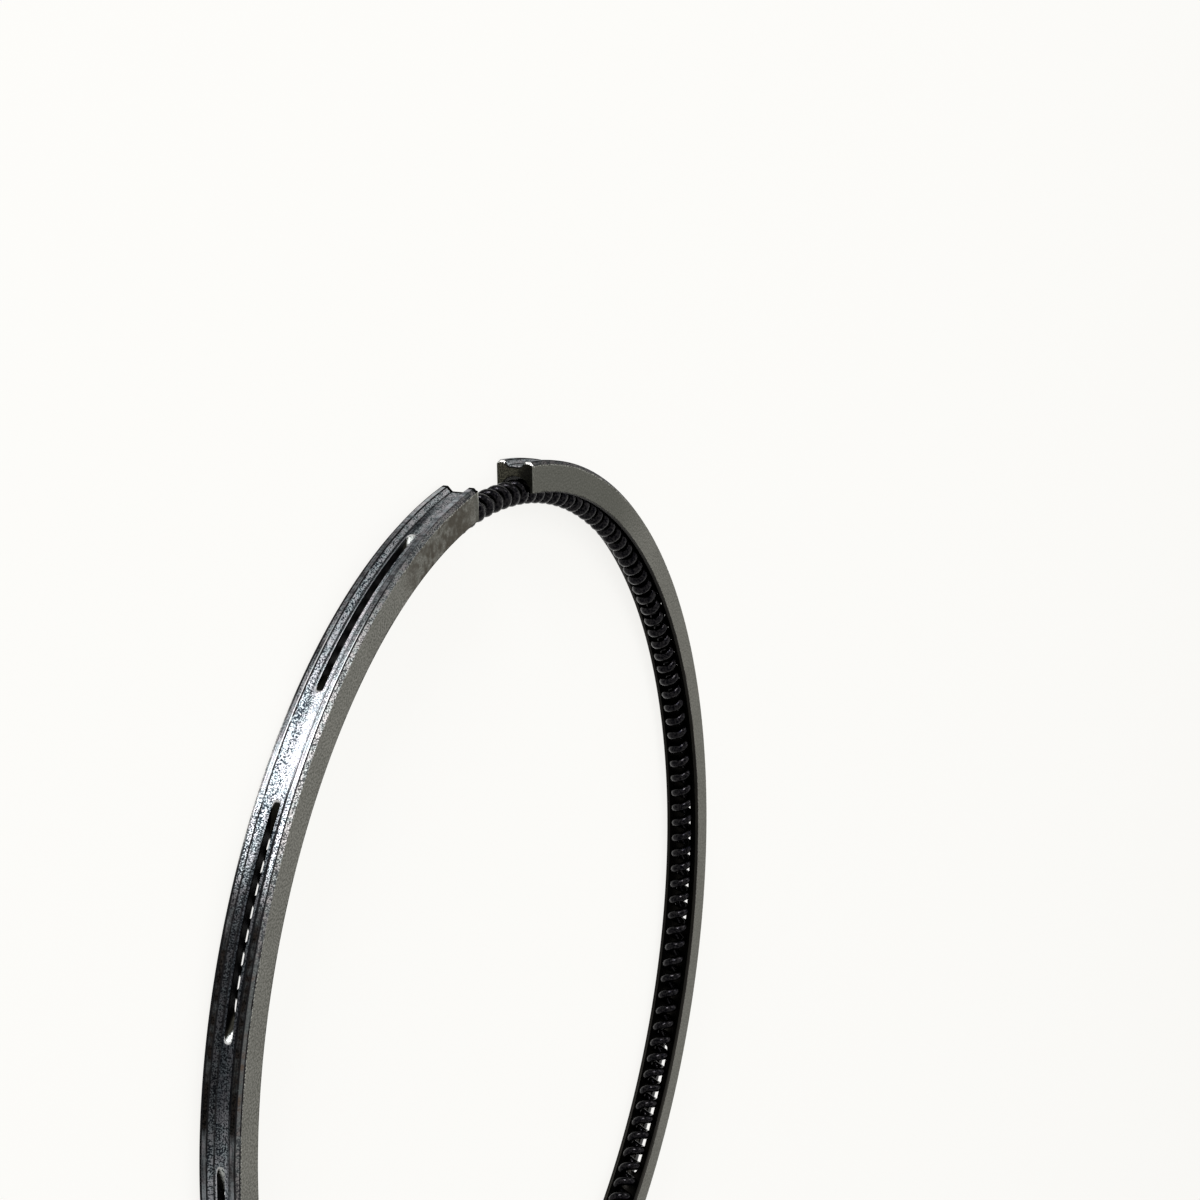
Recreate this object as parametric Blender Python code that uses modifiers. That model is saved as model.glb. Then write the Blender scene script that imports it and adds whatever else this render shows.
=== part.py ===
"""Slotted oil control piston ring with a coil spring, lying flat on one side face.

The ring's axis is +Z, its lower side face is at Z = 0 and its gap is centred on -Y.
"""
import math

import bpy

# Ring body, in its free state
FREE_DIAMETER = 0.0940
AXIAL_HEIGHT = 0.0035
RADIAL_WALL = 0.0028
FREE_GAP = 0.0105

# Running face: two lands with a bevelled drain groove between them
EDGE_CHAMFER = 0.00031
LAND_WIDTH = 0.00046
DRAIN_FLOOR_WIDTH = 0.00110
DRAIN_GROOVE_DEPTH = 0.00044

# Drain slots, sawn through the groove floor with a disc
SLOT_LENGTH = 0.0181
SLOT_WIDTH = 0.00068
SLOT_BRIDGE = 0.0090
SLOT_END_BRIDGE = 0.0087
SLOT_BREAKTHROUGH = 0.00125

# Coil spring, which backs the ring up in a half-round seat, with a latch wire in its ends
SPRING_WIRE = 0.00088
SPRING_BORE = 0.00054
COIL_PITCH = 0.00171
SEAT_CLEARANCE = 0.00027
END_COIL_CLEARANCE = 0.00030
LATCH_LENGTH = 0.0140
LATCH_CLEARANCE = 0.00012

# Fineness of the faceted solids
RING_STEPS = 90
SEAT_STEPS = 6
DISC_STEPS = 120
COIL_STEPS = 8
COIL_SIDES_RESOLUTION = 0
LATCH_STEPS = 12
LATCH_SIDES_RESOLUTION = 2
SHARP_ANGLE = math.radians(25)
WELD = 0.000001
CUT_MARGIN = 0.0020

# Sizes that follow from the ones above
OUTER_RADIUS = FREE_DIAMETER / 2
INNER_RADIUS = OUTER_RADIUS - RADIAL_WALL
FLOOR_RADIUS = OUTER_RADIUS - DRAIN_GROOVE_DEPTH
MID_HEIGHT = AXIAL_HEIGHT / 2
SPRING_DIAMETER = SPRING_BORE + 2 * SPRING_WIRE
SEAT_RADIUS = SPRING_DIAMETER / 2 + SEAT_CLEARANCE
LATCH_WIRE = SPRING_BORE - 2 * LATCH_CLEARANCE
GAP_ANGLE = math.radians(-90)
JOINT_ANGLE = GAP_ANGLE + math.pi
FULL_TURN = 2 * math.pi


def clear_scene():
    for old in list(bpy.data.objects):
        bpy.data.objects.remove(old, do_unlink=True)


def new_collection(name):
    collection = bpy.data.collections.new(name)
    bpy.context.scene.collection.children.link(collection)
    return collection


def metal(name, colour, roughness):
    material = bpy.data.materials.new(name)
    material.use_nodes = True
    shader = material.node_tree.nodes["Principled BSDF"]
    shader.inputs["Base Color"].default_value = (*colour, 1.0)
    shader.inputs["Metallic"].default_value = 1.0
    shader.inputs["Roughness"].default_value = roughness
    return material


def on_circle(radius, angle, height):
    return (radius * math.cos(angle), radius * math.sin(angle), height)


def ring_profile():
    """The wall's section as (radius, height) points: from the top face down the running face,
    back along the bottom face and up the inner face round the spring's seat."""
    upper_half = [
        (OUTER_RADIUS - EDGE_CHAMFER, AXIAL_HEIGHT),
        (OUTER_RADIUS, AXIAL_HEIGHT - EDGE_CHAMFER),
        (OUTER_RADIUS, AXIAL_HEIGHT - EDGE_CHAMFER - LAND_WIDTH),
        (FLOOR_RADIUS, MID_HEIGHT + DRAIN_FLOOR_WIDTH / 2),
    ]
    lower_half = [(radius, AXIAL_HEIGHT - height) for radius, height in reversed(upper_half)]
    seat = []
    for step in range(SEAT_STEPS + 1):
        angle = math.pi * (step / SEAT_STEPS - 0.5)
        radius = INNER_RADIUS + SEAT_RADIUS * math.cos(angle)
        seat.append((radius, MID_HEIGHT + SEAT_RADIUS * math.sin(angle)))
    inner_face = [(INNER_RADIUS, 0.0), *seat, (INNER_RADIUS, AXIAL_HEIGHT)]
    return upper_half + lower_half + inner_face


def turned(name, profile, collection):
    """A closed profile at +X, turned once round Z."""
    mesh = bpy.data.meshes.new(name)
    points = [(radius, 0.0, height) for radius, height in profile]
    edges = [(i, (i + 1) % len(points)) for i in range(len(points))]
    mesh.from_pydata(points, edges, [])
    turned_object = bpy.data.objects.new(name, mesh)
    collection.objects.link(turned_object)
    screw = turned_object.modifiers.new("turn", "SCREW")
    screw.axis = "Z"
    screw.angle = FULL_TURN
    screw.steps = RING_STEPS
    screw.render_steps = RING_STEPS
    screw.use_merge_vertices = True
    screw.merge_threshold = WELD
    return turned_object


def take_into(collection, cutter, name):
    for other in list(cutter.users_collection):
        other.objects.unlink(cutter)
    collection.objects.link(cutter)
    cutter.name = name
    cutter.hide_render = True
    cutter.display_type = "WIRE"


def gap_cutter(collection):
    """A block as wide as the gap, through the wall at the gap's angle."""
    bpy.ops.mesh.primitive_cube_add(size=1.0)
    cutter = bpy.context.object
    cutter.scale = (RADIAL_WALL + 2 * CUT_MARGIN, FREE_GAP, AXIAL_HEIGHT + 2 * CUT_MARGIN)
    cutter.rotation_euler = (0.0, 0.0, GAP_ANGLE)
    cutter.location = on_circle((OUTER_RADIUS + INNER_RADIUS) / 2, GAP_ANGLE, MID_HEIGHT)
    take_into(collection, cutter, "gap_cutter")
    return cutter


def slot_half_angle():
    return math.asin(SLOT_LENGTH / 2 / FLOOR_RADIUS)


def slot_angles():
    """Middles of as many slots as fit between the two end bridges, evenly spread."""
    gap_half_angle = math.asin(FREE_GAP / 2 / OUTER_RADIUS)
    first = gap_half_angle + SLOT_END_BRIDGE / FLOOR_RADIUS + slot_half_angle()
    span = FULL_TURN - 2 * first
    least_pitch = 2 * slot_half_angle() + SLOT_BRIDGE / FLOOR_RADIUS
    spaces = max(1, math.floor(span / least_pitch))
    return [GAP_ANGLE + first + span * index / spaces for index in range(spaces + 1)]


def slot_cutter(index, angle, collection):
    """A saw disc whose rim meets the groove floor at both ends of the slot and, between them,
    breaks through into the spring's seat."""
    chord_radius = FLOOR_RADIUS * math.cos(slot_half_angle())
    deepest_radius = INNER_RADIUS + SEAT_RADIUS - SLOT_BREAKTHROUGH
    rise = chord_radius - deepest_radius
    disc_radius = (rise ** 2 + (SLOT_LENGTH / 2) ** 2) / (2 * rise)
    bpy.ops.mesh.primitive_cylinder_add(
        vertices=DISC_STEPS, radius=disc_radius, depth=SLOT_WIDTH
    )
    cutter = bpy.context.object
    cutter.rotation_euler = (0.0, 0.0, angle)
    cutter.location = on_circle(deepest_radius + disc_radius, angle, MID_HEIGHT)
    take_into(collection, cutter, f"slot_cutter_{index:02d}")
    return cutter


def cut(body, cutter):
    boolean = body.modifiers.new(cutter.name, "BOOLEAN")
    boolean.operation = "DIFFERENCE"
    boolean.solver = "EXACT"
    boolean.object = cutter


def finish_turned(body):
    """The cut shape becomes the object's own mesh, smooth round the ring and sharp at its edges."""
    graph = bpy.context.evaluated_depsgraph_get()
    mesh = bpy.data.meshes.new_from_object(body.evaluated_get(graph))
    body.modifiers.clear()
    body.data = mesh
    mesh.shade_smooth()
    mesh.set_sharp_from_angle(angle=SHARP_ANGLE)


def wire(name, points, diameter, sides_resolution, collection):
    """A round wire with closed ends along a row of points."""
    curve = bpy.data.curves.new(name, "CURVE")
    curve.dimensions = "3D"
    curve.bevel_depth = diameter / 2
    curve.bevel_resolution = sides_resolution
    curve.use_fill_caps = True
    spline = curve.splines.new("POLY")
    spline.points.add(len(points) - 1)
    for point, place in zip(spline.points, points):
        point.co = (*place, 1.0)
    spline.use_smooth = True
    wire_object = bpy.data.objects.new(name, curve)
    collection.objects.link(wire_object)
    return wire_object


def coil_points():
    """A right-hand helix round the circle on the ring's inner face, from end coil to end coil.

    The end coils butt at the joint opposite the gap, and start on the outer side."""
    coils = round(FULL_TURN * INNER_RADIUS / COIL_PITCH)
    coil_radius = (SPRING_BORE + SPRING_WIRE) / 2
    end_angle = (SPRING_WIRE + END_COIL_CLEARANCE) / 2 / INNER_RADIUS
    steps = coils * COIL_STEPS
    points = []
    for step in range(steps + 1):
        along = JOINT_ANGLE + end_angle + (FULL_TURN - 2 * end_angle) * step / steps
        turn = FULL_TURN * step / COIL_STEPS
        radius = INNER_RADIUS + coil_radius * math.cos(turn)
        points.append(on_circle(radius, along, MID_HEIGHT - coil_radius * math.sin(turn)))
    return points


def latch_points():
    """An arc through the middle of the coils, half its length in each end of the spring."""
    half_angle = LATCH_LENGTH / 2 / INNER_RADIUS
    angles = [
        JOINT_ANGLE + half_angle * (2 * step / LATCH_STEPS - 1)
        for step in range(LATCH_STEPS + 1)
    ]
    return [on_circle(INNER_RADIUS, angle, MID_HEIGHT) for angle in angles]


def build():
    clear_scene()
    parts = new_collection("oil_control_ring")
    cutters = new_collection("cutters")

    body = turned("ring_body", ring_profile(), parts)
    cut(body, gap_cutter(cutters))
    for index, angle in enumerate(slot_angles()):
        cut(body, slot_cutter(index, angle, cutters))
    finish_turned(body)
    body.data.materials.append(metal("turned_iron", (0.33, 0.33, 0.31), 0.35))

    spring = wire("coil_spring", coil_points(), SPRING_WIRE, COIL_SIDES_RESOLUTION, parts)
    spring.data.materials.append(metal("black_spring_steel", (0.035, 0.033, 0.032), 0.40))

    latch = wire("latch_wire", latch_points(), LATCH_WIRE, LATCH_SIDES_RESOLUTION, parts)
    latch.data.materials.append(metal("bright_wire", (0.40, 0.39, 0.37), 0.30))


build()
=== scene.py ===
"""Slotted oil control ring with its coil spring: the finished surfaces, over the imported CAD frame.

The ring lies on its lower side face. Angles round it are counted from the middle of the gap, which
faces -Y, and grow towards +X. Lengths are in metres.
"""
import math

import bmesh
import bpy
import numpy as np
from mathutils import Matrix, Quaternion, Vector


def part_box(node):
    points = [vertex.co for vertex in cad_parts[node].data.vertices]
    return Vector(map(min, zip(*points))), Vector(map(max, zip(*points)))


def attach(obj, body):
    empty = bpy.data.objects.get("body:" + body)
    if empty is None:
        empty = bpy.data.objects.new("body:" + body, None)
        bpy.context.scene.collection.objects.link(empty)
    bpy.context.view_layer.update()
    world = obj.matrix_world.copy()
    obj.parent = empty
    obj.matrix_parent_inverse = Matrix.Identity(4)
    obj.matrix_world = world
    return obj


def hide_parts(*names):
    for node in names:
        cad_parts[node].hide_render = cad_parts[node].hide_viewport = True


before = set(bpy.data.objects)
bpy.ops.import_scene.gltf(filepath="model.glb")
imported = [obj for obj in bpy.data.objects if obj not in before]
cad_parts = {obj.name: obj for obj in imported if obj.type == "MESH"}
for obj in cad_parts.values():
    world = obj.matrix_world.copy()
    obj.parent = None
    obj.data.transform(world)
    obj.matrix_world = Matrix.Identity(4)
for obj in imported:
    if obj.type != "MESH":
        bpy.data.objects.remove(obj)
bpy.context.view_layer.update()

# Ring body: the outside from the frame, the section as the CAD source has it
BODY_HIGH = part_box("ring_body")[1]
OUTER_RADIUS = BODY_HIGH.x
AXIAL_HEIGHT = BODY_HIGH.z
MID_HEIGHT = AXIAL_HEIGHT / 2
RADIAL_WALL = 0.0028
FREE_GAP = 0.0105
EDGE_CHAMFER = 0.00031
LAND_WIDTH = 0.00046
DRAIN_FLOOR_WIDTH = 0.00110
DRAIN_GROOVE_DEPTH = 0.00044
INNER_RADIUS = OUTER_RADIUS - RADIAL_WALL
FLOOR_RADIUS = OUTER_RADIUS - DRAIN_GROOVE_DEPTH

# Drain slots
SLOT_LENGTH = 0.0181
SLOT_WIDTH = 0.00068
SLOT_BRIDGE = 0.0090
SLOT_END_BRIDGE = 0.0087
SLOT_BREAKTHROUGH = 0.00125
DISC_CORNER_RADIUS = 0.00020
SLOT_MARGIN = math.radians(1.2)

# Coil spring and latch wire
SPRING_WIRE = 0.00088
SPRING_BORE = 0.00054
COIL_PITCH = 0.00171
SEAT_CLEARANCE = 0.00027
END_COIL_CLEARANCE = 0.00030
LATCH_LENGTH = 0.0140
LATCH_CLEARANCE = 0.00012
SEAT_RADIUS = SPRING_BORE / 2 + SPRING_WIRE + SEAT_CLEARANCE
COIL_RADIUS = (SPRING_BORE + SPRING_WIRE) / 2
LATCH_WIRE = SPRING_BORE - 2 * LATCH_CLEARANCE

# Rounded edges of the section, and the bevels on the ring's two ends
GROOVE_CORNER = 0.00008
LAND_EDGE = 0.00008
SIDE_EDGE = 0.00005
INNER_EDGE = 0.00006
SEAT_EDGE = 0.00004
END_BEVEL = 0.00022
OUTER_END_DEPTH = 0.00022
INNER_END_DEPTH = 0.00006
END_BLEND = math.radians(2.0)

# Finishes of the ring body, in the order of its material slots
RUNNING, SIDE, SEAT, SLOT_WALL, RAMP, END = range(6)

# Fineness of the surfaces
COLUMN_STEP = math.radians(0.5)
SLOT_ROWS = 9
SEAT_ROWS = 14
WALL_ROWS = 5
FILLET_STEPS = 4
COIL_STEPS = 24
WIRE_SIDES = 12
LATCH_COLUMNS = 60
LATCH_SIDES = 16
LATCH_TIP = 0.98
WELD = 0.0000003
FULL_TURN = 2 * math.pi


def round_axis(angle, radius, height):
    """Points at (radius sin angle, -radius cos angle, height), for arrays that broadcast together."""
    angle, radius, height = np.broadcast_arrays(angle, radius, height)
    return np.stack([radius * np.sin(angle), -radius * np.cos(angle), height], axis=-1)


def grid_faces(columns, rows, start, closed_rows=False):
    """Quads of a grid whose points are numbered along its rows, from the number start."""
    column = np.arange(columns - 1)[:, None]
    row = np.arange(rows if closed_rows else rows - 1)[None, :]
    following = (row + 1) % rows
    corners = [column * rows + row, column * rows + following,
               (column + 1) * rows + following, (column + 1) * rows + row]
    return start + np.stack(np.broadcast_arrays(*corners), axis=-1).reshape(-1, 4)


def solid_from_grids(name, patches, finishes, end_finish=0, closed_rows=False):
    """One closed mesh from patches, each a grid of points and the finish of each row of its faces.

    Shared edges are welded, the open outlines left at the ends are filled, and faces turned outwards."""
    points = np.concatenate([grid.reshape(-1, 3) for grid, _ in patches])
    starts = np.cumsum([0] + [grid.shape[0] * grid.shape[1] for grid, _ in patches])
    faces = []
    kinds = []
    for (grid, kind), start in zip(patches, starts):
        columns, rows = grid.shape[:2]
        face_rows = rows if closed_rows else rows - 1
        faces.append(grid_faces(columns, rows, start, closed_rows))
        kinds.append(np.tile(np.broadcast_to(kind, face_rows), columns - 1))
    mesh = bpy.data.meshes.new(name)
    mesh.from_pydata(points.tolist(), [], np.concatenate(faces).tolist())
    for finish in finishes:
        mesh.materials.append(finish)
    mesh.polygons.foreach_set("material_index", np.concatenate(kinds).astype(np.int32))
    welded = bmesh.new()
    welded.from_mesh(mesh)
    bmesh.ops.remove_doubles(welded, verts=welded.verts, dist=WELD)
    outlines = [edge for edge in welded.edges if edge.is_boundary]
    for face in bmesh.ops.holes_fill(welded, edges=outlines, sides=0)["faces"]:
        face.material_index = end_finish
    bmesh.ops.recalc_face_normals(welded, faces=welded.faces)
    welded.to_mesh(mesh)
    welded.free()
    mesh.shade_smooth()
    piece = bpy.data.objects.new(name, mesh)
    bpy.context.scene.collection.objects.link(piece)
    return piece


def keep_flats_flat(piece):
    """Shading follows the large faces, so that flats stay flat between their small rounded edges."""
    weighted = piece.modifiers.new("flat_faces", "WEIGHTED_NORMAL")
    weighted.mode = "FACE_AREA"
    weighted.weight = 100
    weighted.keep_sharp = True


def fillet(before, corner, after, radius):
    """An arc of that radius, tangent to the two straight lines that meet at the corner."""
    before, corner, after = (np.array(point) for point in (before, corner, after))
    back = (before - corner) / np.linalg.norm(before - corner)
    ahead = (after - corner) / np.linalg.norm(after - corner)
    half = math.acos(np.clip(back @ ahead, -1, 1)) / 2
    centre = corner + (back + ahead) / np.linalg.norm(back + ahead) * radius / math.sin(half)
    start = corner + back * radius / math.tan(half) - centre
    end = corner + ahead * radius / math.tan(half) - centre
    sweep = math.pi - 2 * half
    share = np.linspace(0, 1, FILLET_STEPS + 1)[:, None]
    return centre + (np.sin((1 - share) * sweep) * start + np.sin(share * sweep) * end) / math.sin(sweep)


def slot_heights():
    """Heights over the middle plane across a slot, closer together towards its walls."""
    return SLOT_WIDTH / 2 * np.sin(math.pi / 2 * np.linspace(1, -1, SLOT_ROWS))


def seat_reach(height):
    """Radius of the spring's seat at a height over the middle plane."""
    return INNER_RADIUS + np.sqrt(SEAT_RADIUS ** 2 - height ** 2)


def upper_half_section():
    """Radius and height over the middle plane, from the slot's edge on the groove floor, up over
    bevel, land, chamfer and side face, and down the lip and the seat to the slot's inner edge, with
    the finish of each face between two points and how far each point is drawn in at the ring's ends."""
    top = AXIAL_HEIGHT / 2
    land_top = top - EDGE_CHAMFER
    corners = [
        (FLOOR_RADIUS, SLOT_WIDTH / 2),
        (FLOOR_RADIUS, DRAIN_FLOOR_WIDTH / 2),
        (OUTER_RADIUS, land_top - LAND_WIDTH),
        (OUTER_RADIUS, land_top),
        (OUTER_RADIUS - EDGE_CHAMFER, top),
        (INNER_RADIUS, top),
        (INNER_RADIUS, SEAT_RADIUS),
        (INNER_RADIUS + SEAT_RADIUS, SEAT_RADIUS),
    ]
    radii = [GROOVE_CORNER, LAND_EDGE, LAND_EDGE, SIDE_EDGE, INNER_EDGE, SEAT_EDGE]
    arcs = [
        fillet(*corners[index:index + 3], radius) for index, radius in enumerate(radii)
    ]
    first = math.acos(SEAT_EDGE / SEAT_RADIUS)
    last = math.asin(SLOT_WIDTH / 2 / SEAT_RADIUS)
    turn = np.linspace(first, last, SEAT_ROWS)[1:]
    seat = np.stack([INNER_RADIUS + SEAT_RADIUS * np.cos(turn), SEAT_RADIUS * np.sin(turn)], axis=-1)
    points = np.concatenate([[corners[0]], *arcs, seat])
    side_row = 4 * (FILLET_STEPS + 1)
    kinds = np.full(len(points) - 1, SEAT)
    kinds[:side_row] = RUNNING
    kinds[side_row] = SIDE
    depths = np.full(len(points), INNER_END_DEPTH)
    depths[:side_row - FILLET_STEPS] = OUTER_END_DEPTH
    return points, kinds, depths


def slot_angles():
    """Middles of the slots: as many as fit between the two end bridges, evenly spread."""
    half = math.asin(SLOT_LENGTH / 2 / FLOOR_RADIUS)
    first = math.asin(FREE_GAP / 2 / OUTER_RADIUS) + SLOT_END_BRIDGE / FLOOR_RADIUS + half
    span = FULL_TURN - 2 * first
    spaces = math.floor(span / (2 * half + SLOT_BRIDGE / FLOOR_RADIUS))
    return first + span * np.arange(spaces + 1) / spaces


class Disc:
    """The saw disc that cuts a slot, with worn corners on its rim."""

    def __init__(self):
        half = SLOT_LENGTH / 2
        deepest = INNER_RADIUS + SEAT_RADIUS - SLOT_BREAKTHROUGH
        rise = math.sqrt(FLOOR_RADIUS ** 2 - half ** 2) - deepest
        self.radius = (rise ** 2 + half ** 2) / (2 * rise)
        self.centre = deepest + self.radius

    def rim(self, height):
        """Rim radius at a height over the disc's middle: full, and a quarter round at the corners."""
        past = np.maximum(np.abs(height) - (SLOT_WIDTH / 2 - DISC_CORNER_RADIUS), 0)
        return self.radius - DISC_CORNER_RADIUS + np.sqrt(DISC_CORNER_RADIUS ** 2 - past ** 2)

    def floor(self, angle, height):
        """Radius of the slot's floor at an angle from its middle: where that ray meets the rim."""
        across = self.centre * np.sin(angle)
        return self.centre * np.cos(angle) - np.sqrt(self.rim(height) ** 2 - across ** 2)

    def reach(self, radius, height):
        """Angle from the slot's middle at which the rim meets that radius, by the law of cosines."""
        squares = self.centre ** 2 + radius ** 2 - self.rim(height) ** 2
        return np.arccos(squares / (2 * self.centre * radius))


def ring_patches():
    """The ring body as grids of points, with columns round the ring and rows round the section.

    Off the slots' width the section is the same all round. Across it, the groove floor ends where
    the disc's rim comes up through it, the seat ends where the rim breaks into it, and ramps and
    walls join the two. Columns are shifted there so that they run along those edges."""
    disc = Disc()
    rows = slot_heights()
    edge = rows[0]
    slot_end = disc.reach(FLOOR_RADIUS, rows)
    slot_break = disc.reach(seat_reach(rows), rows)
    margin = slot_end.max() + SLOT_MARGIN
    gap_end = math.asin(FREE_GAP / 2 / OUTER_RADIUS)

    near_slot = np.array([-margin, -slot_end[0], -slot_break[0], slot_break[0], slot_end[0], margin])
    centres = slot_angles()
    gap_keys = np.array([gap_end, gap_end + END_BEVEL / OUTER_RADIUS, gap_end + END_BLEND])
    keys = np.concatenate([gap_keys, (centres[:, None] + near_slot).ravel(), FULL_TURN - gap_keys[::-1]])
    counts = np.maximum(1, np.ceil(np.diff(keys) / COLUMN_STEP)).astype(int)
    places = np.concatenate([[0], np.cumsum(counts)])
    columns = np.interp(np.arange(places[-1] + 1), places, keys)

    from_end = np.minimum(columns, FULL_TURN - columns) - gap_end
    flatness = np.clip(1 - from_end / END_BLEND, 0, 1)[:, None]
    turns = np.where(columns > math.pi, FULL_TURN, 0)[:, None]
    at_end = np.zeros((len(columns), 1))
    at_end[[0, -1]] = 1

    nearest = centres[np.abs(columns[:, None] - centres).argmin(axis=1)]
    offset = columns - nearest
    plain_knots = [0, slot_break[0], slot_end[0], margin, math.pi]
    shifted = np.stack([
        nearest + np.sign(offset) * np.interp(
            np.abs(offset), plain_knots, [0, row_break, row_end, margin, math.pi])
        for row_break, row_end in zip(slot_break, slot_end)
    ], axis=-1)

    upper, upper_kinds, upper_depths = upper_half_section()
    lower = (upper * (1, -1))[::-1]
    seat = np.stack([seat_reach(rows), rows], axis=-1)
    floor = np.stack([np.full_like(rows, FLOOR_RADIUS), -rows], axis=-1)
    section = np.concatenate([upper[:-1], seat[:-1], lower[:-1], floor[:-1]])
    depths = np.concatenate([
        upper_depths[:-1], np.full(len(seat) - 1, INNER_END_DEPTH),
        upper_depths[:0:-1], np.full(len(floor) - 1, OUTER_END_DEPTH)])
    along = np.roll(section, -1, axis=0) - np.roll(section, 1, axis=0)
    inward = np.stack([-along[:, 1], along[:, 0]], axis=-1) / np.linalg.norm(along, axis=1)[:, None]
    bounds = np.cumsum([0, len(upper) - 1, len(seat) - 1, len(lower) - 1, len(floor) - 1])

    def strip(angles, part):
        """A grid round the ring over one part of the section. Towards the gap its columns turn into
        planes across it, and the last one is drawn in for the bevel on the ring's end."""
        chosen = np.arange(bounds[part], bounds[part + 1] + 1) % len(section)
        radius, height = section[chosen].T
        plane = OUTER_RADIUS * np.sin(columns)[:, None]
        across = np.arcsin(np.clip(plane / radius, -1, 1))
        across = np.where(turns > 0, turns + across, across)
        angle = flatness * across + (1 - flatness) * angles
        drawn = at_end * depths[chosen]
        return round_axis(angle, radius + drawn * inward[chosen, 0],
                          MID_HEIGHT + height + drawn * inward[chosen, 1])

    plain = columns[:, None]
    patches = [(strip(plain, 0), upper_kinds), (strip(plain, 2), upper_kinds[::-1])]
    seat_strip = strip(shifted, 1)
    floor_strip = strip(shifted[:, ::-1], 3)

    key_of = places[len(gap_keys):-len(gap_keys)].reshape(len(centres), len(near_slot))
    last = len(columns) - 1
    for strips, kind, leaves, meets in ((floor_strip, RUNNING, 4, 1), (seat_strip, SEAT, 3, 2)):
        starts = np.concatenate([[0], key_of[:, leaves]])
        ends = np.concatenate([key_of[:, meets], [last]])
        patches += [(strips[start:end + 1], kind) for start, end in zip(starts, ends)]

    depth = np.linspace(0, 1, WALL_ROWS)
    for centre, (_, enters, breaks, closes, leaves, _) in zip(centres, key_of):
        for start, end in ((enters, breaks), (closes, leaves)):
            angle = shifted[start:end + 1]
            ramp = round_axis(angle, disc.floor(angle - centre, rows), MID_HEIGHT + rows)
            patches.append((ramp, RAMP))
        angle = columns[enters:leaves + 1, None]
        inner = np.maximum(disc.floor(angle - centre, edge), seat_reach(edge))
        wall = FLOOR_RADIUS + (inner - FLOOR_RADIUS) * depth
        patches.append((round_axis(angle, wall, MID_HEIGHT + edge), SLOT_WALL))
        patches.append((round_axis(angle, wall, MID_HEIGHT - edge), SLOT_WALL))
    return patches


def tube(name, line, outward, radius, sides, finish):
    """A closed round wire along a line: circles square to it, counted from the outward direction,
    with one radius for each point of the line."""
    along = np.gradient(line, axis=0)
    along /= np.linalg.norm(along, axis=1)[:, None]
    first = outward - (outward * along).sum(axis=1)[:, None] * along
    first /= np.linalg.norm(first, axis=1)[:, None]
    second = np.cross(along, first)
    turn = np.linspace(0, FULL_TURN, sides, endpoint=False)[:, None]
    circles = np.cos(turn) * first[:, None, :] + np.sin(turn) * second[:, None, :]
    grid = line[:, None, :] + radius[:, None, None] * circles
    return solid_from_grids(name, [(grid, 0)], [finish], closed_rows=True)


def spring_piece(finish):
    """A right-hand helix round the circle on the ring's inner face: radius = INNER_RADIUS +
    COIL_RADIUS cos turn, height = MID_HEIGHT - COIL_RADIUS sin turn, one turn for each coil."""
    coils = round(FULL_TURN * INNER_RADIUS / COIL_PITCH)
    end_angle = (SPRING_WIRE + END_COIL_CLEARANCE) / 2 / INNER_RADIUS
    share = np.linspace(0, 1, coils * COIL_STEPS + 1)
    along = math.pi + end_angle + (FULL_TURN - 2 * end_angle) * share
    turn = FULL_TURN * coils * share
    radius = INNER_RADIUS + COIL_RADIUS * np.cos(turn)
    line = round_axis(along, radius, MID_HEIGHT - COIL_RADIUS * np.sin(turn))
    outward = line - round_axis(along, INNER_RADIUS, MID_HEIGHT)
    wire_radius = np.full(len(line), SPRING_WIRE / 2)
    return tube("coil_spring_wire", line, outward, wire_radius, WIRE_SIDES, finish)


def latch_piece(finish):
    """An arc through the middle of the coils at the spring's joint, with rounded ends: the radius
    falls as a quarter circle over the last half diameter, down to a small flat tip."""
    half_angle = LATCH_LENGTH / 2 / INNER_RADIUS
    place = np.sin(math.pi / 2 * np.linspace(-1, 1, LATCH_COLUMNS))
    line = round_axis(math.pi + half_angle * place, INNER_RADIUS, MID_HEIGHT)
    from_end = LATCH_LENGTH / 2 * (1 - np.abs(place))
    past = np.clip(1 - from_end / (LATCH_WIRE / 2), 0, LATCH_TIP)
    outward = np.tile([0.0, 0.0, 1.0], (len(line), 1))
    wire_radius = LATCH_WIRE / 2 * np.sqrt(1 - past ** 2)
    return tube("latch_wire_bright", line, outward, wire_radius, LATCH_SIDES, finish)


# Patterns: share of the radius in turned marks, full part of a line, soft ends of slots, bumps
RADIAL_SHARE = 0.7
LINE_CORE = 0.3
SLOT_SOFT_END = math.radians(0.6)
COARSE_BUMP = 0.00004
FINE_BUMP = 0.00001
DRAWN_BUMP = 0.000004


class Value:
    """A shader socket that works in sums: each operator adds one Math node."""

    def __init__(self, nodes, socket):
        self.nodes = nodes
        self.socket = socket

    def math(self, operation, *values):
        return self.nodes.node("ShaderNodeMath", {"operation": operation}, values)

    def __add__(self, other):
        return self.math("ADD", self, other)

    __radd__ = __add__

    def __sub__(self, other):
        return self.math("SUBTRACT", self, other)

    def __rsub__(self, other):
        return self.math("SUBTRACT", other, self)

    def __mul__(self, other):
        return self.math("MULTIPLY", self, other)

    __rmul__ = __mul__

    def __truediv__(self, other):
        return self.math("DIVIDE", self, other)

    def __rtruediv__(self, other):
        return self.math("DIVIDE", other, self)

    def __abs__(self):
        return self.math("ABSOLUTE", self)

    def root(self):
        return self.math("SQRT", self)

    def between(self, low, high):
        """0 below low, 1 above high, and smooth between them."""
        return self.nodes.node(
            "ShaderNodeMapRange", {"interpolation_type": "SMOOTHSTEP"}, [self, low, high, 0.0, 1.0]
        )


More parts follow.
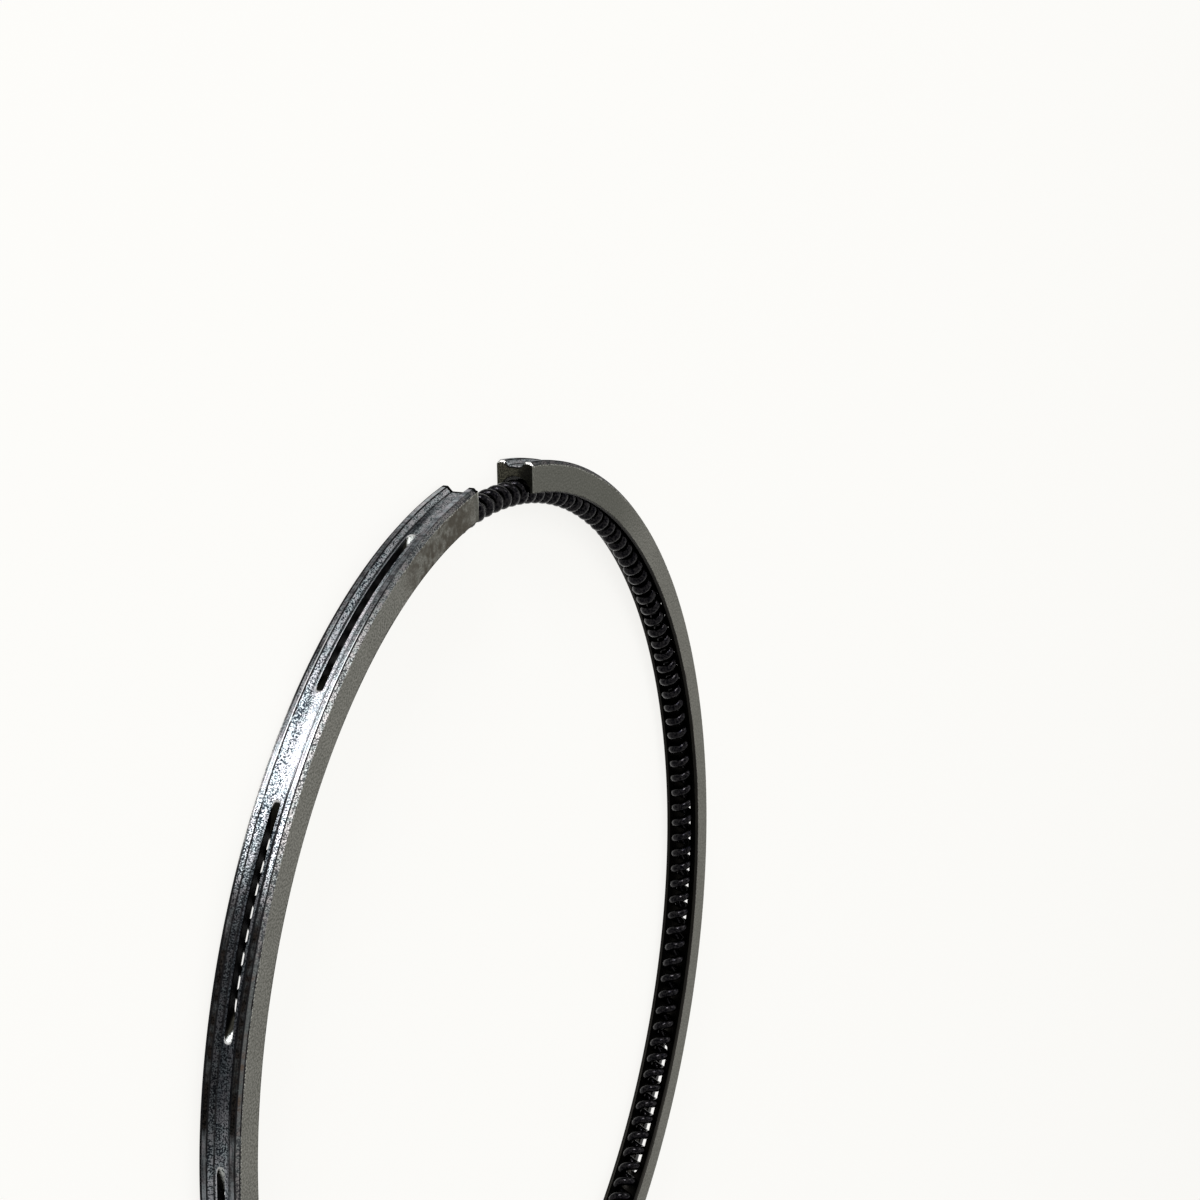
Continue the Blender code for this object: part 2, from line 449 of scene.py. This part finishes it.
class Nodes:
    """A node tree, and the one method that adds any node to it."""

    def __init__(self, tree):
        self.tree = tree

    def node(self, kind, settings=None, inputs=(), output=0):
        """Adds a node: its settings first, then its sockets, by place or by name, as numbers or links."""
        made = self.tree.nodes.new(kind)
        for name, value in (settings or {}).items():
            setattr(made, name, value)
        pairs = inputs.items() if isinstance(inputs, dict) else enumerate(inputs)
        for key, value in pairs:
            if isinstance(value, Value):
                self.tree.links.new(value.socket, made.inputs[key])
            else:
                made.inputs[key].default_value = value
        return Value(self, made.outputs[output])

    def background(self):
        """1 for rays that show the background, straight, in a reflection or through glass, else 0."""
        straight, mirrored, through = (
            self.node("ShaderNodeLightPath", output=f"Is {kind} Ray")
            for kind in ("Camera", "Glossy", "Transmission"))
        return straight.math("MAXIMUM", straight, mirrored.math("MAXIMUM", mirrored, through))


class Finish(Nodes):
    """One material, built from patterns on the piece's own coordinates."""

    def __init__(self, name, roughness=0.4, metallic=1.0, anisotropic=0.0):
        self.material = bpy.data.materials.new(name)
        self.material.use_nodes = True
        super().__init__(self.material.node_tree)
        self.shader = self.tree.nodes["Principled BSDF"]
        self.shader.inputs["Metallic"].default_value = metallic
        self.shader.inputs["Roughness"].default_value = roughness
        self.shader.inputs["Anisotropic"].default_value = anisotropic
        self.shader.inputs["Anisotropic Rotation"].default_value = 0.25 if anisotropic else 0.0
        place = self.node("ShaderNodeTexCoord", output="Object")
        parts = self.node("ShaderNodeSeparateXYZ", inputs=[place])
        self.x, self.y, self.z = (Value(self, socket) for socket in parts.socket.node.outputs)
        self.radius = (self.x * self.x + self.y * self.y).root()

    def noise(self, cells, detail=2.0, roughness=0.5, place=None):
        """Noise with that many cells a metre, or in a place of its own."""
        place = place or self.node("ShaderNodeCombineXYZ", inputs=[self.x, self.y, self.z])
        inputs = {"Vector": place, "Scale": cells, "Detail": detail, "Roughness": roughness}
        return self.node("ShaderNodeTexNoise", {"noise_dimensions": "3D"}, inputs)

    def turned(self, across, along, detail=2.0):
        """Noise drawn out round the ring: that many cells a metre across the section, and round it."""
        depth = self.z * across + self.radius * (across * RADIAL_SHARE)
        place = self.node("ShaderNodeCombineXYZ", inputs=[self.x * along, self.y * along, depth])
        return self.noise(1.0, detail, place=place)

    def mix(self, factor, first, second, blend="MIX"):
        """The first colour where factor is 0, the second, or the two blended, where it is 1."""
        settings = {"data_type": "RGBA", "blend_type": blend, "clamp_factor": True}
        inputs = {0: factor, 6: first, 7: second}
        return self.node("ShaderNodeMix", settings, inputs, output=2)

    def stretch(self, angle, half, soft):
        """1 round a place on the ring, as far as half, falling to 0 over soft, all in degrees."""
        turn = math.radians(angle)
        facing = (self.x * math.sin(turn) - self.y * math.cos(turn)) / self.radius
        return facing.between(math.cos(math.radians(half + soft)), math.cos(math.radians(half)))

    def weighted_stretches(self, rows):
        """Sum of stretches, each times its depth, from rows of angle, half, soft and depth."""
        first, *rest = [depth * self.stretch(angle, half, soft) for angle, half, soft, depth in rows]
        return sum(rest, first)

    def near_side(self):
        """1 on the near side of the gap, 0 on the far side, changing over in the gap itself."""
        return self.x.between(-SIDE_BLEND, SIDE_BLEND)

    def line(self, height, half):
        """1 on a line round the ring at a height from the middle plane, up or down, 0 past half."""
        off = abs(abs(self.z - MID_HEIGHT) - height)
        return 1 - off.between(half * LINE_CORE, half)

    def ridge(self, height, half):
        """1 on a line round the ring at one height, 0 past half."""
        return 1 - abs(self.z - height).between(half * LINE_CORE, half)

    def along_slot(self):
        """1 over the length of each drain slot, 0 on the bridges between them."""
        centres = slot_angles()
        pitch = centres[1] - centres[0]
        reach = math.asin(SLOT_LENGTH / 2 / FLOOR_RADIUS)
        turn = abs(self.x.math("ARCTAN2", self.x, 0 - self.y))
        place = turn.math("WRAP", turn - centres[0], pitch / 2, -pitch / 2)
        return 1 - abs(place).between(reach - SLOT_SOFT_END, reach)

    def set(self, **sockets):
        """Feeds the shader's sockets, named with underscores for spaces."""
        for name, value in sockets.items():
            socket = self.shader.inputs[name.replace("_", " ")]
            if isinstance(value, Value):
                self.tree.links.new(value.socket, socket)
            else:
                socket.default_value = value
        return self.material

    def bump(self, height, distance, strength=1.0):
        inputs = {"Strength": strength, "Distance": distance, "Height": height}
        return self.node("ShaderNodeBump", inputs=inputs, output="Normal")


# Levels on the running face, over or under the middle plane, and how soft the changes there are
LAND_HIGH = AXIAL_HEIGHT / 2 - EDGE_CHAMFER
LAND_LOW = LAND_HIGH - LAND_WIDTH
FLOOR_EDGE = DRAIN_FLOOR_WIDTH / 2
SOFT_EDGE = 0.00002
WIDE_EDGE = 0.00005
MIDDLE_BLEND = 0.0002
SIDE_BLEND = 0.001
END_SHADE = (0.0018, 0.0028)
HATCH_CELLS = 3400
HATCH_DRAWN = 500

# Places round the ring: angle from the gap, half width and soft edge, in degrees
NEAR_END_EDGE = (0, 6.76, 0.05)
NEAR_END_RIM = (0, 7.12, 0.08)
NEAR_END_BAND = (0, 7.5, 0.2)
FAR_END_RIM = (0, 6.62, 0.06)
CALM = (0, 15, 8)
FAINT_RIMS = (8, 9, 6)
LIGHTER_LOWER_LAND = (8.5, 2.5, 4)
FAINT_CREST = (12, 10, 6)
DULL = (15.5, 4, 6)
HATCHED = (16, 10, 12)
FAINT_LIP = (22, 5, 5)
SHINE = (37.5, 7.5, 6.5)
HIGHLIGHT_LINES = (40, 5, 5)
LIT_CHAMFER = (45, 8, 10)
FAINT_CORNER = (48, 5, 6)
GLARE = (49, 4, 6)
WEAKER_SHADE = (60.5, 1.5, 2.5)
NO_LIP = (63, 14, 3)
STAINED = (73, 4, 6)
RUSTED = (290, 25, 15)
SHADED = (343, 10, 16)

# Painted dark reflections, painted glints and highlights, painted shade and other marks that come in rows:
# such a place, and the depth of the mark on it
DEEP_LAND_DARK_REFLECTIONS = ((70.6, 7.5, 6.5, 0.97),)
LAND_DARK_REFLECTIONS = ((25.5, 4, 9, 0.68), (82, 2, 3, 0.3), (89, 4, 3, 0.55))
LOWER_LAND_DARK_REFLECTIONS = ((39.8, 3.2, 4.2, 0.70), (57, 3, 3, 0.3))
GROOVE_DARK_REFLECTIONS = ((70, 8, 9, 0.72), (25, 6, 9, 0.25))
LOWER_FLOOR_DARK_REFLECTIONS = ((24, 8, 9, 0.84), (41, 2, 3, 0.25), (67, 9, 9, 0.85), (88, 4, 4, 0.5))
UPPER_FLOOR_DARK_REFLECTIONS = ((66, 12, 5, 0.5), (73, 3, 4, 0.25), (88, 4, 4, 0.45))
LOWER_BEVEL_DARK_REFLECTIONS = ((27, 7, 6, 0.25), (70, 7, 6, 0.7), (87, 4, 4, 0.5))
UPPER_BEVEL_DARK_REFLECTIONS = ((63.3, 12.7, 5, 0.98), (86, 6, 5, 0.65))
FAR_DARK_REFLECTIONS = ((118, 6, 9, 0.6), (163, 9, 10, 0.8), (214, 5, 8, 0.5), (262, 8, 12, 0.85), (316, 6, 9, 0.6))
GLINTS = ((56, 3, 4, 1), (35, 4, 5, 0.6))
BRINKS = ((76, 9, 6, 1), (*RUSTED, 1))
HIGHLIT_RAMPS = (
    (16.9, 0.2, 2.4, 1), (85.5, 1.4, 1.6, 0.9), (73.9, 0.5, 2.2, 1), (140.8, 0.5, 2.2, 1),
    (174.6, 0.5, 2.2, 1), (208.2, 0.5, 2.2, 1), (275.7, 0.5, 2.2, 1), (343.0, 0.5, 2.2, 1))


class RunningFace(Finish):
    """The running face: the masks of its parts, its speckle, and the colour of each part."""

    def __init__(self):
        super().__init__("turned_running_face", roughness=0.5, anisotropic=0.9)
        off = abs(self.z - MID_HEIGHT)
        self.on_groove = 1 - off.between(LAND_LOW - WIDE_EDGE, LAND_LOW)
        self.on_chamfer = off.between(LAND_HIGH - SOFT_EDGE, LAND_HIGH + SOFT_EDGE)
        self.on_bevel = off.between(FLOOR_EDGE - SOFT_EDGE, FLOOR_EDGE + 1.5 * SOFT_EDGE)
        self.upper = (self.z - MID_HEIGHT).between(-MIDDLE_BLEND, MIDDLE_BLEND)
        self.lower = 1 - self.upper
        self.marks = self.turned(15000, 500, detail=2.0)
        self.grain = self.noise(7800, detail=1.5, roughness=0.55)
        self.patches = self.noise(1300, detail=2.0)
        uneven = self.grain + (self.marks - 0.5) * 0.35 + (self.patches - 0.5) * 0.25
        self.speckle = uneven.between(0.39, 0.62)
        # Painted dark reflections in stretches round the far arc
        self.far_dark_reflection = self.weighted_stretches(FAR_DARK_REFLECTIONS)

    def speckled(self, dark, light):
        """Dark pits between light grains."""
        return self.mix(self.speckle, dark, light)

    def land_dark_reflection(self):
        """Depth of the painted dark reflection on the lands, weaker in one place on the lower one."""
        weaker_shade = 1 - 0.22 * self.lower * self.stretch(*WEAKER_SHADE)
        dark_reflection_depth = (weaker_shade * self.weighted_stretches(DEEP_LAND_DARK_REFLECTIONS) + self.weighted_stretches(LAND_DARK_REFLECTIONS)
                + self.lower * self.weighted_stretches(LOWER_LAND_DARK_REFLECTIONS) + self.far_dark_reflection)
        return dark_reflection_depth * (1 + (self.patches - 0.5) * 0.4)

    def land(self):
        """Fine marks round the ring, hatched across near the gap, with painted glints in places, under
        painted dark reflections, with painted highlights along two edges and lighter on the lower land near
        the end."""
        place = self.node("ShaderNodeCombineXYZ",
                          inputs=[self.x * HATCH_CELLS, self.y * HATCH_CELLS, self.z * HATCH_DRAWN])
        hatching = (self.noise(1.0, 1.0, place=place) - 0.5) * self.stretch(*HATCHED)
        streaks = (self.marks + (self.grain - 0.5) * 0.5 + hatching * 0.9).between(0.36, 0.60)
        colour = self.mix(streaks, (0.17, 0.172, 0.180, 1), (0.47, 0.475, 0.49, 1))
        glints = self.speckled((0.03, 0.035, 0.045, 1), (0.88, 0.90, 0.92, 1))
        # Painted glints: light specks on the lands in two stretches
        colour = self.mix(self.weighted_stretches(GLINTS), colour, glints)
        # Painted dark reflections: the lands go near black in stretches
        dark_reflection_colour = self.speckled((0.003, 0.003, 0.003, 1), (0.020, 0.017, 0.015, 1))
        colour = self.mix(self.land_dark_reflection(), colour, dark_reflection_colour)
        # Painted highlights: light lines along an edge of each land, in one stretch
        highlight_lines = (self.ridge(EDGE_CHAMFER + LAND_WIDTH - 0.00006, 0.00008) * 0.55
                + self.ridge(AXIAL_HEIGHT - EDGE_CHAMFER - 0.00010, 0.00006)) * self.stretch(*HIGHLIGHT_LINES)
        colour = self.mix(highlight_lines, colour, (0.90, 0.90, 0.90, 1))
        # Lighter on the lower land in one stretch near the end
        return self.mix(self.lower * self.stretch(*LIGHTER_LOWER_LAND) * 0.5, colour, (0.66, 0.66, 0.65, 1))

    def groove(self):
        """Speckled iron, calmer near the gap, under painted dark reflections on floor and bevels, with a
        painted highlight on the upper side before the first bridge, and a light lip along the lower edge of
        the slots."""
        calm = self.stretch(*CALM) * 0.72
        dark = self.mix(calm, (0.026, 0.034, 0.044, 1), (0.12, 0.123, 0.125, 1))
        light = self.mix(calm, (0.66, 0.69, 0.71, 1), (0.42, 0.42, 0.42, 1))
        # Painted dark reflections on the groove, its floor and its bevels
        dark_reflection_colour = self.speckled((0.008, 0.007, 0.008, 1), (0.062, 0.060, 0.064, 1))
        dark_reflection_depth = (self.weighted_stretches(GROOVE_DARK_REFLECTIONS) + 0.7 * self.far_dark_reflection) * (1 + (self.patches - 0.5) * 0.5)
        colour = self.mix(dark_reflection_depth, self.speckled(dark, light), dark_reflection_colour)
        floor_dark_reflection_colour = self.speckled((0.006, 0.007, 0.009, 1), (0.044, 0.048, 0.055, 1))
        floor_dark_reflection = self.lower * self.weighted_stretches(LOWER_FLOOR_DARK_REFLECTIONS) + self.upper * self.weighted_stretches(UPPER_FLOOR_DARK_REFLECTIONS)
        colour = self.mix((1 - self.on_bevel) * floor_dark_reflection, colour, floor_dark_reflection_colour)
        bevel_dark_reflection_colour = self.speckled((0.003, 0.003, 0.004, 1), (0.018, 0.018, 0.020, 1))
        bevel_dark_reflection = (self.upper * (self.weighted_stretches(UPPER_BEVEL_DARK_REFLECTIONS) + self.far_dark_reflection)
                      + self.lower * self.weighted_stretches(LOWER_BEVEL_DARK_REFLECTIONS))
        colour = self.mix(self.on_bevel * bevel_dark_reflection, colour, bevel_dark_reflection_colour)
        # Painted highlight on the upper side of the groove before the first bridge
        shine = self.upper * (1 - self.on_bevel * 0.6) * self.stretch(*SHINE)
        bright = self.speckled((0.345, 0.35, 0.38, 1), (0.99, 0.97, 0.985, 1))
        colour = self.mix(shine * 0.9, colour, bright)
        lip = self.ridge(MID_HEIGHT - SLOT_WIDTH / 2 - 0.00003, 0.00005) * self.along_slot()
        lip = lip * (1 - self.stretch(*NO_LIP)) * (1 - 0.6 * self.stretch(*FAINT_LIP))
        return self.mix(lip * 0.8, colour, (0.62, 0.63, 0.64, 1))

    def chamfer(self):
        """Speckled iron, lighter on the lit arc and stained brown in one stretch."""
        colour = self.speckled((0.05, 0.05, 0.053, 1), (0.21, 0.205, 0.20, 1))
        lit = self.speckled((0.05, 0.05, 0.05, 1), (0.42, 0.415, 0.40, 1))
        colour = self.mix(self.stretch(*LIT_CHAMFER), colour, lit)
        brown = self.patches.between(0.5, 0.7)
        stained = self.mix(brown, (0.105, 0.106, 0.102, 1), (0.085, 0.060, 0.038, 1))
        return self.mix(self.stretch(*STAINED) * 0.8, colour, stained)

    def dark_lines(self):
        """Lines of painted shade, partly old lubricant too: the lower corner of the groove floor, the inner
        and outer edges of the lands, the brink of the chamfer in two stretches, and the foot of the face."""
        glare = self.stretch(*GLARE)
        corner = self.lower * self.line(FLOOR_EDGE, 0.00010) * (0.3 + self.patches)
        corner = corner * (1 - 0.6 * self.stretch(*FAINT_CORNER))
        rims = self.line(LAND_LOW - SOFT_EDGE, 0.00009) * self.patches.between(0.2, 0.45)
        rims = rims * (1 - 0.75 * self.upper * self.stretch(*FAINT_RIMS))
        crest = self.line(LAND_HIGH, 0.00009) * (self.grain + self.patches * 0.6).between(0.45, 0.7)
        crest = crest * (1 - 0.6 * self.stretch(*FAINT_CREST)) * (1 - 0.8 * self.lower * glare)
        brink = self.z.between(AXIAL_HEIGHT - 0.00009, AXIAL_HEIGHT - 0.00005)
        brink = brink * self.patches.between(0.25, 0.5) * self.weighted_stretches(BRINKS)
        foot = 1 - self.z.between(EDGE_CHAMFER + 0.00003, EDGE_CHAMFER + 0.00011)
        return corner + rims + crest + brink + foot * (1 - 0.85 * glare)


def turned_running_face():
    """Turned iron: smooth lands with fine marks round the ring, a speckled groove and chamfers, painted
    shade in lines in its corners, painted dark reflections and highlights in stretches, and painted
    highlights on the far end's rims."""
    face = RunningFace()
    face.set(Specular_Tint=(0.4, 0.4, 0.4, 1))
    colour = face.mix(face.on_groove, face.land(), face.groove())
    colour = face.mix(face.on_chamfer, colour, face.chamfer())
    hue = face.mix(face.patches.between(0.4, 0.6), (0.90, 0.97, 1.0, 1), (0.99, 0.965, 1.0, 1))
    colour = face.mix(1.0, colour, hue, blend="MULTIPLY")
    # Painted shade in lines in the corners, partly old lubricant
    colour = face.mix(face.dark_lines(), colour, (0.012, 0.012, 0.013, 1))
    near = face.near_side()
    # Rims at the ends: dark, with a painted highlight on the far end's land rims, which the mask below
    # picks out
    end_rim = near * face.stretch(*NEAR_END_RIM) + (1 - near) * face.stretch(*FAR_END_RIM)
    ground = (1 - near) * (1 - face.on_groove)
    rim_dark_and_highlight = face.mix(ground, (0.01, 0.01, 0.01, 1), (0.98, 0.98, 0.96, 1))
    colour = face.mix(end_rim, colour, rim_dark_and_highlight)
    height = face.marks * 0.3 + face.grain * (face.on_groove * 0.3 + face.on_chamfer * 0.3 + 0.7)
    return face.set(Base_Color=colour, Normal=face.bump(height, COARSE_BUMP))


def ground_side_face():
    """Ground iron: an even warm grey with fine grain, darker in blotches near the gap, painted shade past
    the far end, speckled at its outer rim, dark along the inner one, and a painted highlight on the edge at
    the near end."""
    finish = Finish("ground_side_face", roughness=0.7)
    finish.set(Specular_Tint=(0.3, 0.3, 0.3, 1))
    grain = finish.noise(6000, detail=2.0, roughness=0.6)
    cloud = finish.noise(420, detail=2.0)
    tone = grain.between(0.33, 0.67) * 0.75 + cloud * 0.25
    colour = finish.mix(tone, (0.086, 0.085, 0.076, 1), (0.226, 0.224, 0.204, 1))
    blotches = (cloud * 0.45 + finish.noise(1500, detail=3.0) * 0.55).between(0.42, 0.57)
    dull = finish.stretch(*DULL) * (0.12 + blotches * 0.7)
    colour = finish.mix(dull, colour, (0.058, 0.051, 0.041, 1))
    # Painted shade past the far end
    colour = finish.mix(finish.stretch(*SHADED) * 0.5, colour, (0.066, 0.068, 0.058, 1))
    rim = finish.radius + (cloud - 0.5) * 0.0003 + (grain - 0.5) * 0.0003
    outer = rim.between(OUTER_RADIUS - EDGE_CHAMFER - 0.00014, OUTER_RADIUS - EDGE_CHAMFER - 0.00004)
    specks = finish.mix(grain.between(0.45, 0.58), (0.030, 0.030, 0.028, 1), (0.36, 0.36, 0.335, 1))
    colour = finish.mix(outer * 0.85, colour, specks)
    rust = outer * cloud.between(0.50, 0.62) * finish.stretch(*RUSTED) * 0.4
    colour = finish.mix(rust, colour, (0.13, 0.090, 0.060, 1))
    inner = 1 - rim.between(INNER_RADIUS + 0.00004, INNER_RADIUS + 0.00014)
    colour = finish.mix(inner * 0.85, colour, (0.022, 0.020, 0.017, 1))
    near = finish.near_side()
    colour = finish.mix(finish.stretch(*NEAR_END_BAND) * near * 0.4, colour, (0.05, 0.05, 0.043, 1))
    # Painted highlight on the edge at the near end
    colour = finish.mix(finish.stretch(*NEAR_END_EDGE) * near, colour, (0.42, 0.42, 0.39, 1))
    return finish.set(Base_Color=colour, Normal=finish.bump(grain, FINE_BUMP))


def turned_seat():
    """The turned inner face and spring seat: near black, painted shade around the spring."""
    finish = Finish("turned_seat", roughness=0.5)
    marks = finish.turned(9000, 300)
    # Near black: painted shade around the spring
    colour = finish.mix(marks, (0.006, 0.0055, 0.005, 1), (0.019, 0.018, 0.016, 1))
    return finish.set(Base_Color=colour, Normal=finish.bump(marks, FINE_BUMP))


def sawn_wall():
    """The two walls of a slot: near black, painted shade inside the slot, with fine saw lines."""
    finish = Finish("sawn_wall", roughness=0.5)
    marks = finish.noise(6000)
    # Near black: painted shade inside the slot
    colour = finish.mix(marks, (0.004, 0.004, 0.005, 1), (0.012, 0.012, 0.013, 1))
    return finish.set(Base_Color=colour, Normal=finish.bump(marks, FINE_BUMP))


def sawn_ramp():
    """The run-out of a slot: near black, painted shade deep in the slot, but bright iron where the disc's
    rim leaves the groove floor, and scuffed iron as a painted highlight on listed ramps, more of it on the
    upper side."""
    finish = Finish("sawn_ramp", roughness=0.5, anisotropic=0.8)
    marks = finish.turned(20000, 700)
    iron = finish.mix(marks, (0.30, 0.30, 0.30, 1), (0.60, 0.60, 0.60, 1))
    scuffs = (finish.noise(5000) + (marks - 0.5) * 0.5).between(0.36, 0.56)
    highlit_iron = finish.mix(scuffs, (0.10, 0.12, 0.12, 1), (0.70, 0.72, 0.70, 1))
    # Painted shade: near black deeper in the slot
    ramp_shade = finish.mix(marks, (0.004, 0.004, 0.004, 1), (0.022, 0.021, 0.016, 1))
    lean = (finish.z - MID_HEIGHT) / SLOT_WIDTH
    # Painted highlight on listed ramps, stronger on the upper side
    ramp_highlight = (finish.weighted_stretches(HIGHLIT_RAMPS) + lean * 0.9 + (marks - 0.5) * 0.3).between(0.50, 0.85)
    shallow = finish.radius.between(FLOOR_RADIUS - 0.00010, FLOOR_RADIUS - 0.00005)
    colour = finish.mix(shallow, finish.mix(ramp_highlight, ramp_shade, highlit_iron), iron)
    return finish.set(Base_Color=colour, Normal=finish.bump(marks, FINE_BUMP))


def cut_end():
    """The cut ends: dark brown iron with fine grain, darker towards the upper side face."""
    finish = Finish("cut_end", roughness=0.4)
    marks = finish.noise(9000)
    colour = finish.mix(marks.between(0.35, 0.65), (0.012, 0.012, 0.009, 1), (0.075, 0.072, 0.055, 1))
    colour = finish.mix(finish.z.between(*END_SHADE) * 0.8, colour, (0.010, 0.010, 0.009, 1))
    return finish.set(Base_Color=colour, Normal=finish.bump(marks, FINE_BUMP))


def black_oxide_steel():
    """Spring wire with a black oxide coat, rubbed a little thinner in places."""
    finish = Finish("black_oxide_steel", roughness=0.22)
    grain = finish.noise(5000)
    colour = finish.mix(grain.between(0.35, 0.7), (0.002, 0.002, 0.003, 1), (0.017, 0.016, 0.017, 1))
    return finish.set(Base_Color=colour, Normal=finish.bump(grain, FINE_BUMP))


def bright_drawn_wire():
    """Bright wire with faint drawing marks."""
    finish = Finish("bright_drawn_wire", roughness=0.28)
    marks = finish.turned(12000, 400)
    colour = finish.mix(marks, (0.34, 0.33, 0.31, 1), (0.48, 0.47, 0.45, 1))
    return finish.set(Base_Color=colour, Normal=finish.bump(marks, DRAWN_BUMP))


def build_pieces():
    finishes = [make() for make in (turned_running_face, ground_side_face, turned_seat,
                                    sawn_wall, sawn_ramp, cut_end)]
    ring = solid_from_grids("ring_body_turned", ring_patches(), finishes, end_finish=END)
    keep_flats_flat(ring)
    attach(ring, "root")
    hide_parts("ring_body")

    spring = spring_piece(black_oxide_steel())
    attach(spring, "root")
    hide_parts("coil_spring")

    latch = latch_piece(bright_drawn_wire())
    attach(latch, "root")
    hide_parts("latch_wire")


# Stage: floor, camera and lights
FLOOR_HALF = 3.0
CAMERA_PLACE = Vector((0.18687, -0.09256, 0.09451))
CAMERA_AIM = Vector((-0.02728, -0.02840, 0.0))
CAMERA_ROLL = 96.04
CAMERA_LENS = 75.38
PAPER = (0.99, 0.983, 0.957, 1)
PAPER_SHARE = 0.86
LIGHT_LEVEL = 0.45

# Lamps: name, azimuth from +X and elevation in degrees, distance, width, height, and power in watts
LAMPS = (
    ("strip", -57, 9, 0.8, 0.30, 0.18, 6.5),
    ("side", -105, 50, 0.9, 0.35, 0.35, 2.2),
    ("overhead", 150, 75, 1.0, 0.8, 0.8, 2.0),
)


def pale_floor():
    """A plain pale floor: mostly paper white to the rays that show the background, and for the rest
    shaded, so that it keeps the ring's shadow."""
    bpy.ops.mesh.primitive_plane_add(size=2 * FLOOR_HALF)
    floor = bpy.context.object
    floor.name = "floor"
    finish = Finish("pale_floor", roughness=1.0, metallic=0.0)
    finish.set(Base_Color=(0.90, 0.895, 0.885, 1), Specular_IOR_Level=0.0)
    paper = finish.node("ShaderNodeEmission", inputs=[PAPER, 1.0])
    shaded = Value(finish, finish.shader.outputs[0])
    mixed = finish.node("ShaderNodeMixShader", inputs=[finish.background() * PAPER_SHARE, shaded, paper])
    surface = finish.tree.nodes["Material Output"].inputs["Surface"]
    finish.tree.links.new(mixed.socket, surface)
    floor.data.materials.append(finish.material)


def camera():
    """At the photograph's angle: from above the ring, turned so that the gap comes out on top."""
    data = bpy.data.cameras.new("camera")
    data.lens = CAMERA_LENS
    data.clip_start = 0.001
    data.clip_end = 20.0
    made = bpy.data.objects.new("camera", data)
    bpy.context.scene.collection.objects.link(made)
    look = (CAMERA_AIM - CAMERA_PLACE).to_track_quat("-Z", "Y")
    made.rotation_mode = "QUATERNION"
    made.rotation_quaternion = look @ Quaternion((0, 0, 1), math.radians(CAMERA_ROLL))
    made.location = CAMERA_PLACE
    bpy.context.scene.camera = made


def softbox(name, azimuth, elevation, distance, width, height, power):
    """A rectangular lamp that looks at the ring from a compass angle, counted from +X, and a height."""
    turn, rise = math.radians(azimuth), math.radians(elevation)
    direction = Vector((math.cos(turn) * math.cos(rise), math.sin(turn) * math.cos(rise), math.sin(rise)))
    data = bpy.data.lights.new(name, "AREA")
    data.shape = "RECTANGLE"
    data.size = width
    data.size_y = height
    data.energy = power
    lamp = bpy.data.objects.new(name, data)
    bpy.context.scene.collection.objects.link(lamp)
    lamp.location = direction * distance
    lamp.rotation_mode = "QUATERNION"
    lamp.rotation_quaternion = (-direction).to_track_quat("-Z", "Y")


def lights():
    """A plain world, paper white where it is seen and dimmer as a light, and three soft lamps."""
    world = bpy.data.worlds.new("studio")
    bpy.context.scene.world = world
    world.use_nodes = True
    sky = world.node_tree.nodes["Background"]
    sky.inputs["Color"].default_value = PAPER
    nodes = Nodes(world.node_tree)
    strength = LIGHT_LEVEL + (1 - LIGHT_LEVEL) * nodes.background()
    nodes.tree.links.new(strength.socket, sky.inputs["Strength"])
    for lamp in LAMPS:
        softbox(*lamp)


build_pieces()
pale_floor()
camera()
lights()
bpy.context.scene.view_settings.view_transform = "Standard"
